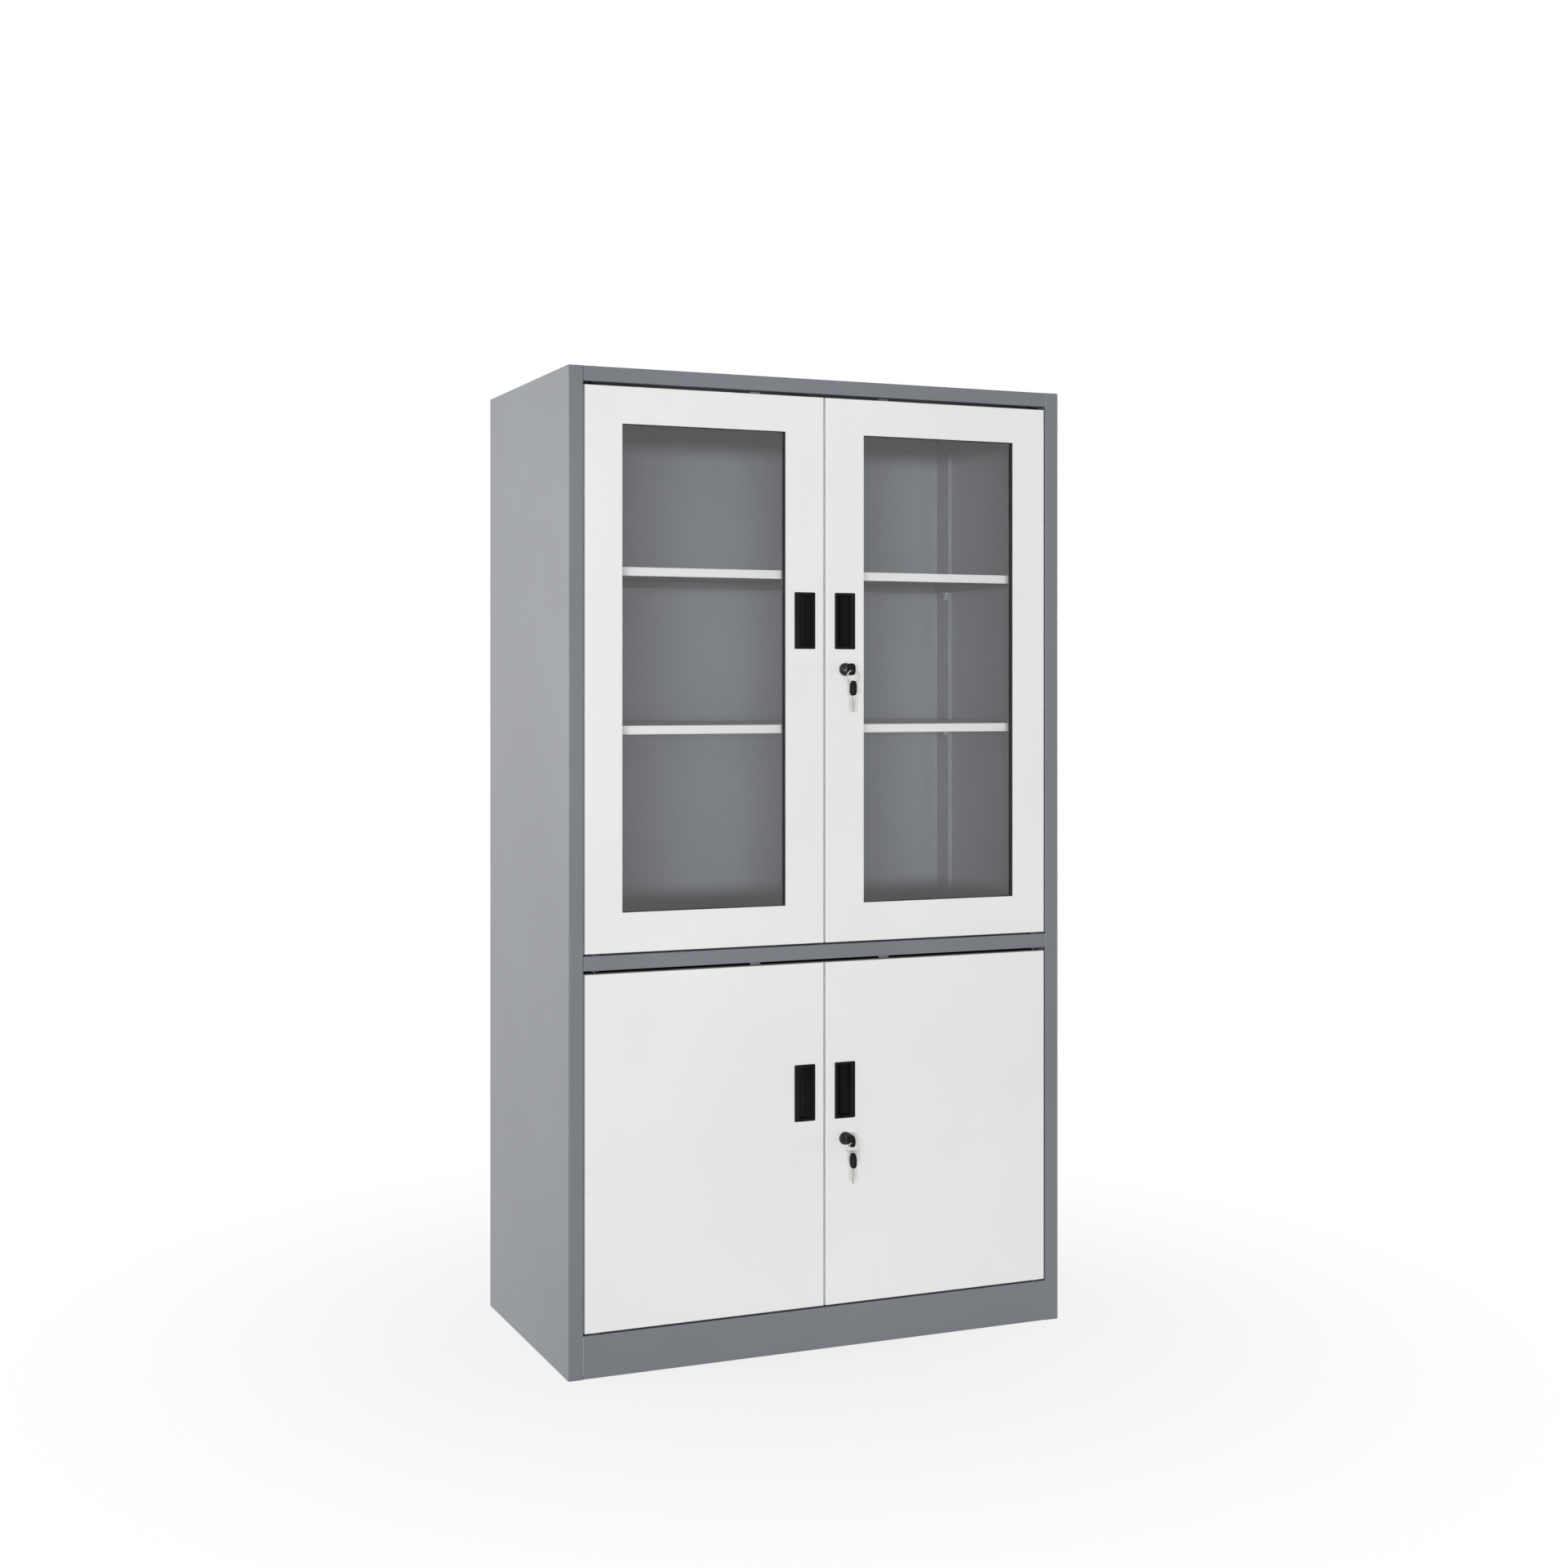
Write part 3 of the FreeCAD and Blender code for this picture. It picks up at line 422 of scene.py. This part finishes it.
stop_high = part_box("door_stops")[1]
stop_rivet_places = []
for rail in ("top_panel", "middle_panel"):
    for side in (-1, 1):
        across = side * (stop_high.x - STOP_HALF)
        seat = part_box(rail)[0].z - STOP_SHEET
        stop_rivet_places.append(Vector((across, stop_high.y - STOP_RIVET_FROM_REAR, seat)))
hung(
    "stop_rivets",
    turned_heads(FLAT_RIVET, stop_rivet_places, (0, 0, -1), RIVET_STEPS),
    slate_grey,
    "cabinet",
)


# Upper door frames: one sheet folded to a tray with a window cut through, and a ring that closes
# it from behind, held by a row of blind rivets. Both are sprayed off-white.
DOOR_SATIN = 0.5
FLANGE_MIDDLE = 0.011
MEETING_RIVETS = (0.79, 0.98, 1.15, 1.42, 1.6)
HINGE_RIVETS = (0.79, 0.98, 1.2, 1.42, 1.6, 1.735)
CROSS_RIVETS = (0.07, 0.235, 0.4)
# The last colour is the painted edge highlight, lighter than the white itself.
door_white = powder_coat(
    "door_white_powder", tone(233, 233, 232), tone(238, 238, 237), tone(244, 244, 243), DOOR_SATIN
)
for side, sign in (("left", -1), ("right", 1)):
    door = "upper_" + side + "_door"
    dress((door + "_frame", door + "_inner_frame"), door_white)
    door_low, door_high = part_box(door + "_frame")
    meeting_edge = min(abs(door_low.x), abs(door_high.x))
    hinge_edge = max(abs(door_low.x), abs(door_high.x))
    frame_rivet_places = []
    for height in MEETING_RIVETS:
        frame_rivet_places.append(Vector((sign * (meeting_edge + FLANGE_MIDDLE), door_high.y, height)))
    for height in HINGE_RIVETS:
        frame_rivet_places.append(Vector((sign * (hinge_edge - FLANGE_MIDDLE), door_high.y, height)))
    for across in CROSS_RIVETS:
        for height in (door_low.z + FLANGE_MIDDLE, door_high.z - FLANGE_MIDDLE):
            frame_rivet_places.append(Vector((sign * across, door_high.y, height)))
    hung(
        door + "_rivets",
        turned_heads(FLAT_RIVET, frame_rivet_places, (0, 1, 0), RIVET_STEPS),
        door_white,
        door,
    )


# Glazing: a clear float-glass pane in a black rubber channel, pressed between the door's front
# sheet and the ring behind.
PANE_INDEX = 1.52
PANE_TINT = (0.97, 0.982, 0.985, 1.0)


def clear_pane(name, tint):
    """Float glass that lets lamp and sky light straight through to what stands behind it."""
    finish, tree, shader = new_finish(name)
    shader.inputs["Base Color"].default_value = tint
    shader.inputs["Roughness"].default_value = 0.0
    shader.inputs["IOR"].default_value = PANE_INDEX
    shader.inputs["Transmission Weight"].default_value = 1.0
    passed = tree.nodes.new("ShaderNodeBsdfTransparent")
    rays = tree.nodes.new("ShaderNodeLightPath")
    lit_through = reckoned(tree, "MAXIMUM", rays.outputs["Is Shadow Ray"], rays.outputs["Is Diffuse Ray"])
    either = tree.nodes.new("ShaderNodeMixShader")
    tree.links.new(lit_through, either.inputs["Fac"])
    tree.links.new(shader.outputs["BSDF"], either.inputs[1])
    tree.links.new(passed.outputs["BSDF"], either.inputs[2])
    tree.links.new(either.outputs["Shader"], tree.nodes["Material Output"].inputs["Surface"])
    return finish


float_glass = clear_pane("float_glass", PANE_TINT)
black_rubber = moulded("black_rubber", tone(24, 24, 25), tone(34, 34, 35), 700.0, 0.00002, 0.55, 0.75)
for side in ("left", "right"):
    dress(("upper_" + side + "_door_glass",), float_glass)
    dress(("upper_" + side + "_door_seal",), black_rubber)


# Lower doors: plain trays of the same white sheet, each stiffened by a hat channel spot-welded up
# the middle of its inner face.
WELDS_ON_FLANGE = 7
WELD_FROM_EDGE = 0.0075
WELD_FROM_END = 0.02
FLANGE_SHEET = 0.0008
SPOT_WELD = ((0.0030, 0.0), (0.0027, 0.00018), (0.0021, 0.00018), (0.0014, 0.00006))
for side in ("left", "right"):
    door = "lower_" + side + "_door"
    dress((door + "_pan", door + "_stiffener"), door_white)
    hat_low, hat_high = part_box(door + "_stiffener")
    weld_places = []
    for k in range(WELDS_ON_FLANGE):
        run = hat_high.z - hat_low.z - 2 * WELD_FROM_END
        height = hat_low.z + WELD_FROM_END + run * k / (WELDS_ON_FLANGE - 1)
        for across in (hat_low.x + WELD_FROM_EDGE, hat_high.x - WELD_FROM_EDGE):
            weld_places.append(Vector((across, hat_low.y + FLANGE_SHEET, height)))
    hung(
        door + "_spot_welds",
        turned_heads(SPOT_WELD, weld_places, (0, 1, 0), RIVET_STEPS),
        door_white,
        door,
    )


# Recessed pulls: black moulded cups pushed through the door sheet from the front, with a finger
# lip on the far side of the pocket and a ramp towards the meeting edge.
PULL_EASE = 0.0007
PULL_GLOSS = 0.12
black_moulding = moulded("black_moulding", tone(6, 6, 7), tone(11, 11, 12), 1500.0, 0.00002, 0.5, 0.65)
black_moulding.node_tree.nodes["Principled BSDF"].inputs["Specular IOR Level"].default_value = PULL_GLOSS
for door in ("upper_left", "upper_right", "lower_left", "lower_right"):
    eased(door + "_door_pull", black_moulding, PULL_EASE)


# Slide bolts: a flat zinc-plated bar that runs in a strapped plate on the back of each left door
# and shoots up into the rail. Four small rivets hold the plate.
BOLT_EASE = 0.0004
PLATE_SHEET = 0.0015
PLATE_RIVET_INSET = 0.0025
PLATE_RIVET_FROM_END = 0.018
SMALL_RIVET = ((0.0019, 0.0), (0.0019, 0.0003), (0.0015, 0.0008), (0.0008, 0.0009), (0.0005, 0.0006))
for door in ("upper_left", "lower_left"):
    eased(door + "_bolt_guide", bright_zinc, BOLT_EASE)
    eased(door + "_slide_bolt", bright_zinc, BOLT_EASE)
    plate_low, plate_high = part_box(door + "_bolt_guide")
    plate_rivet_places = []
    for across in (plate_low.x + PLATE_RIVET_INSET, plate_high.x - PLATE_RIVET_INSET):
        for height in (plate_low.z + PLATE_RIVET_FROM_END, plate_high.z - PLATE_RIVET_FROM_END):
            plate_rivet_places.append(Vector((across, plate_low.y + PLATE_SHEET, height)))
    hung(
        door + "_bolt_rivets",
        turned_heads(SMALL_RIVET, plate_rivet_places, (0, 1, 0), RIVET_STEPS),
        bright_zinc,
        door + "_door",
    )


# Cam locks: a black-lacquered rosette and barrel through the right door, held behind by a spring
# clamp. The plug turns a cranked steel cam, fixed on its tang by a cross-head screw and washer.
ROSETTE_EASE = 0.0009
PLUG_EASE = 0.0002
CAM_EASE = 0.0003
CLAMP_EASE = 0.0002
CROSS_ARM = 0.0024
CROSS_HALF = 0.0006
SCREW_STEPS = 48


def cross_recess(angle):
    """Reach of the driver's cross from the middle of the screw, at one angle."""
    from_arm = abs((angle + math.pi / 4) % (math.pi / 2) - math.pi / 4)
    if math.tan(from_arm) <= CROSS_HALF / CROSS_ARM:
        return CROSS_ARM / math.cos(from_arm)
    return CROSS_HALF / math.sin(from_arm)


CAM_SCREW = (
    (0.0065, 0.0),
    (0.0065, 0.0007),
    (0.0063, 0.0009),
    (0.0044, 0.0009),
    (0.0044, 0.0018),
    (0.0038, 0.0027),
    (0.0030, 0.0030),
    (cross_recess, 0.0030),
    (cross_recess, 0.0016),
)
black_lacquer = moulded("black_lacquer", tone(14, 14, 15), tone(20, 20, 21), 400.0, 0.000006, 0.2, 0.3)
bright_nickel = plated("bright_nickel", tone(190, 186, 176), tone(214, 210, 200), 0.16, 0.3)
for level in ("upper", "lower"):
    eased(level + "_lock_barrel", black_lacquer, ROSETTE_EASE)
    eased(level + "_lock_clamp", bright_zinc, CLAMP_EASE)
    eased(level + "_lock_plug", black_lacquer, PLUG_EASE)
    eased(level + "_lock_cam", bright_zinc, CAM_EASE)
    plug_low, plug_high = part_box(level + "_lock_plug")
    tang_middle = (plug_low + plug_high) / 2
    tang_middle.y = plug_high.y
    hung(
        level + "_cam_screw",
        turned_heads(CAM_SCREW, [tang_middle], (0, 1, 0), SCREW_STEPS),
        bright_zinc,
        level + "_lock",
    )


# Keys: nickel-plated blades with a black head moulded round one end. One stands in the lock, and
# the spare hangs under it from a split ring of two turns of flat spring wire.
KEY_EYE_INSET = 0.006
KEY_CORNER = 0.010
KEY_EYE = 0.00275
BLADE_EASE = 0.00015
KEY_STEPS = 72
OUTLINE_NEARNESS = 1e-7
HEAD_RINGS = (
    ("edge", 0.0, 0.0015),
    ("edge", 0.0003, 0.0021),
    ("edge", 0.0008, 0.0025),
    ("edge", 0.0016, 0.0025),
    ("edge", 0.0019, 0.0021),
    ("eye", 0.0037, 0.0021),
    ("eye", 0.0035, 0.0025),
    ("eye", 0.0031, 0.0025),
    ("eye", KEY_EYE, 0.0021),
)
RING_STEPS = 64
RING_JOG = 0.08
RING_WIRE_SHARE = 0.47
RING_CORNER = 0.0002


def head_reach(angle, inset, middle, half_length, half_width):
    """Distance from the eye to the rounded outline of the head, drawn in by an inset."""
    near, far = 0.0, 2 * half_length
    while far - near > OUTLINE_NEARNESS:
        reach = (near + far) / 2
        along = abs(reach * math.cos(angle) - middle) - half_length + KEY_CORNER
        across = abs(reach * math.sin(angle)) - half_width + KEY_CORNER
        outside = math.hypot(max(along, 0.0), max(across, 0.0)) + min(max(along, across), 0.0)
        if outside - KEY_CORNER + inset > 0:
            far = reach
        else:
            near = reach
    return near


def key_head(node, out, across, finish):
    """A head with a raised rim and a collar round its eye; out runs from the eye to the blade."""
    low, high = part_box(node)
    size = high - low
    half_length = abs(size.dot(out)) / 2
    half_width = abs(size.dot(across)) / 2
    middle = half_length - KEY_EYE_INSET
    eye = (low + high) / 2 - out * middle
    thick = Vector((1, 0, 0))
    shape = bmesh.new()
    front = list(HEAD_RINGS)
    rear = [(kind, reach, -level) for kind, reach, level in reversed(HEAD_RINGS)]
    loops = []
    for kind, reach, level in front + rear:
        loop = []
        for k in range(KEY_STEPS):
            angle = 2 * math.pi * k / KEY_STEPS
            radius = reach
            if kind == "edge":
                radius = head_reach(angle, reach, middle, half_length, half_width)
            point = eye + out * (radius * math.cos(angle)) + across * (radius * math.sin(angle))
            loop.append(shape.verts.new(point + thick * level))
        loops.append(loop)
    skinned(shape, loops, closed=True)
    piece = hung(node + "_moulded", shape, finish, frame["nodes"][node]["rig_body"])
    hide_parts(node)


def split_ring(node, finish):
    """Two turns of flat wire side by side, with the jog where one turn passes to the next."""
    low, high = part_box(node)
    middle = (low + high) / 2
    outer = (high.z - low.z) / 2
    wire = high.y - low.y
    half_radial = wire / 2
    half_flat = wire * RING_WIRE_SHARE / 2
    section = []
    for radial, flat in ((1, 1), (-1, 1), (-1, -1), (1, -1)):
        first = (radial * half_radial, flat * (half_flat - RING_CORNER))
        second = (radial * (half_radial - RING_CORNER), flat * half_flat)
        section += [first, second] if radial * flat > 0 else [second, first]
    shape = bmesh.new()
    loops = []
    for k in range(2 * RING_STEPS + 1):
        turn = k / RING_STEPS
        passed = min(max((turn - 1 + RING_JOG / 2) / RING_JOG, 0.0), 1.0)
        side = (passed * passed * (3 - 2 * passed) - 0.5) * wire / 2
        angle = 2 * math.pi * turn
        loop = []
        for radial, flat in section:
            reach = outer - half_radial + radial
            point = Vector((reach * math.cos(angle), side + flat, reach * math.sin(angle)))
            loop.append(shape.verts.new(middle + point))
        loops.append(loop)
    skinned(shape, loops)
    piece = hung(node + "_split", shape, finish, frame["nodes"][node]["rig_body"])
    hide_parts(node)


for level in ("upper", "lower"):
    eased(level + "_key_blade", bright_nickel, BLADE_EASE)
    eased(level + "_spare_key_blade", bright_nickel, BLADE_EASE)
    key_head(level + "_key_head", Vector((0, 1, 0)), Vector((0, 0, 1)), black_moulding)
    key_head(level + "_spare_key_head", Vector((0, 0, -1)), Vector((0, 1, 0)), black_moulding)
    split_ring(level + "_key_ring", bright_nickel)


# Studio: a pale floor that runs out into a white surround, under an even sky. Broad soft lamps
# stand low in front on the left, on the right, and behind on either side.
FLOOR_HALF = 30.0
FLOOR_GREY = (0.7, 0.7, 0.7, 1.0)
FLOOR_MATT = 0.9
FLOOR_SHADOW_REACH = 1.6
FLOOR_WHITE_NEAR = 0.8
FLOOR_WHITE_FAR = 1.0
BEFORE_MATT = 0.5
SKY_LEVEL = 0.18
SKY_WHITE = (1.0, 1.0, 1.0, 1.0)
LAMP_AIM = Vector((0.0, 0.0, 0.95))
LAMP_DISTANCE = 14.0


def seen_rays(tree):
    """One for rays that show the surround itself: to the camera, in gloss and through glass. Light
    that a matt surface gathers, also through glass, is the plain sky's."""
    rays = tree.nodes.new("ShaderNodeLightPath")
    gloss = reckoned(tree, "MAXIMUM", rays.outputs["Is Camera Ray"], rays.outputs["Is Glossy Ray"])
    glass = reckoned(tree, "MAXIMUM", gloss, rays.outputs["Is Transmission Ray"])
    before_matt = reckoned(tree, "LESS_THAN", rays.outputs["Diffuse Depth"], BEFORE_MATT)
    return reckoned(tree, "MULTIPLY", glass, before_matt)


floor_shape = bmesh.new()
floor_corners = []
for x, y in ((-1, -1), (1, -1), (1, 1), (-1, 1)):
    floor_corners.append(floor_shape.verts.new((x * FLOOR_HALF, y * FLOOR_HALF, 0.0)))
floor_shape.faces.new(floor_corners)
floor_mesh = bpy.data.meshes.new("studio_floor")
floor_shape.to_mesh(floor_mesh)
floor_shape.free()
floor = bpy.data.objects.new("studio_floor", floor_mesh)
bpy.context.scene.collection.objects.link(floor)

pale_floor, floor_tree, floor_shader = new_finish("pale_floor")
floor_shader.inputs["Base Color"].default_value = FLOOR_GREY
floor_shader.inputs["Roughness"].default_value = FLOOR_MATT
floor_shader.inputs["Specular IOR Level"].default_value = 0.0
white_out = floor_tree.nodes.new("ShaderNodeEmission")
floor_place = floor_tree.nodes.new("ShaderNodeTexCoord")
from_middle = floor_tree.nodes.new("ShaderNodeVectorMath")
from_middle.operation = "LENGTH"
floor_tree.links.new(floor_place.outputs["Object"], from_middle.inputs[0])
fading = floor_tree.nodes.new("ShaderNodeMapRange")
fading.interpolation_type = "SMOOTHSTEP"
fading.inputs["From Min"].default_value = 0.0
fading.inputs["From Max"].default_value = FLOOR_SHADOW_REACH
fading.inputs["To Min"].default_value = FLOOR_WHITE_NEAR
fading.inputs["To Max"].default_value = FLOOR_WHITE_FAR
floor_tree.links.new(from_middle.outputs["Value"], fading.inputs["Value"])
floor_share = reckoned(floor_tree, "MULTIPLY", seen_rays(floor_tree), fading.outputs["Result"])
floor_mix = floor_tree.nodes.new("ShaderNodeMixShader")
floor_tree.links.new(floor_share, floor_mix.inputs["Fac"])
floor_tree.links.new(floor_shader.outputs["BSDF"], floor_mix.inputs[1])
floor_tree.links.new(white_out.outputs["Emission"], floor_mix.inputs[2])
floor_tree.links.new(floor_mix.outputs["Shader"], floor_tree.nodes["Material Output"].inputs["Surface"])
floor_mesh.materials.append(pale_floor)

sky = bpy.data.worlds.new("studio_sky")
sky.use_nodes = True
sky_tree = sky.node_tree
even_light = sky_tree.nodes["Background"]
even_light.inputs["Color"].default_value = SKY_WHITE
even_light.inputs["Strength"].default_value = SKY_LEVEL
white_surround = sky_tree.nodes.new("ShaderNodeBackground")
white_surround.inputs["Color"].default_value = SKY_WHITE
white_surround.inputs["Strength"].default_value = 1.0
sky_mix = sky_tree.nodes.new("ShaderNodeMixShader")
sky_tree.links.new(seen_rays(sky_tree), sky_mix.inputs["Fac"])
sky_tree.links.new(even_light.outputs["Background"], sky_mix.inputs[1])
sky_tree.links.new(white_surround.outputs["Background"], sky_mix.inputs[2])
sky_tree.links.new(sky_mix.outputs["Shader"], sky_tree.nodes["World Output"].inputs["Surface"])
bpy.context.scene.world = sky


def soft_lamp(name, bearing, rise, width, height, power):
    """A soft box that faces the cabinet from a bearing left of its front and a rise, in degrees."""
    box = bpy.data.lights.new(name, "AREA")
    box.shape = "RECTANGLE"
    box.size = width
    box.size_y = height
    box.energy = power
    left = math.radians(bearing)
    up = math.radians(rise)
    towards = Vector((-math.sin(left) * math.cos(up), -math.cos(left) * math.cos(up), math.sin(up)))
    lamp = bpy.data.objects.new(name, box)
    lamp.location = LAMP_AIM + towards * LAMP_DISTANCE
    lamp.rotation_euler = (-towards).to_track_quat("-Z", "Y").to_euler()
    bpy.context.scene.collection.objects.link(lamp)


soft_lamp("front_soft_box", bearing=24, rise=1.4, width=5.6, height=1.0, power=1390.0)
soft_lamp("right_soft_box", bearing=-84, rise=0, width=9.0, height=1.6, power=460.0)
soft_lamp("side_soft_box", bearing=122, rise=3, width=9.0, height=3.2, power=1300.0)
soft_lamp("rear_soft_box", bearing=-130, rise=3, width=9.0, height=3.2, power=900.0)
bpy.context.scene.view_settings.view_transform = "Standard"


# Camera: level, at about chest height in front and to the left, with the frame shifted sideways
# and down as the picture of the cabinet is cropped.
CAMERA_PLACE = (-1.66496, -3.79040, 1.22961)
CAMERA_TURN = math.radians(-22.113)
CAMERA_LENS = 48.55
CAMERA_SENSOR = 36.0
CAMERA_SHIFT = (0.0429, -0.0620)
lens = bpy.data.cameras.new("front_left_camera")
lens.lens = CAMERA_LENS
lens.sensor_width = CAMERA_SENSOR
lens.shift_x = CAMERA_SHIFT[0]
lens.shift_y = CAMERA_SHIFT[1]
camera = bpy.data.objects.new("front_left_camera", lens)
camera.location = CAMERA_PLACE
camera.rotation_euler = (math.radians(90), 0.0, CAMERA_TURN)
bpy.context.scene.collection.objects.link(camera)
bpy.context.scene.camera = camera
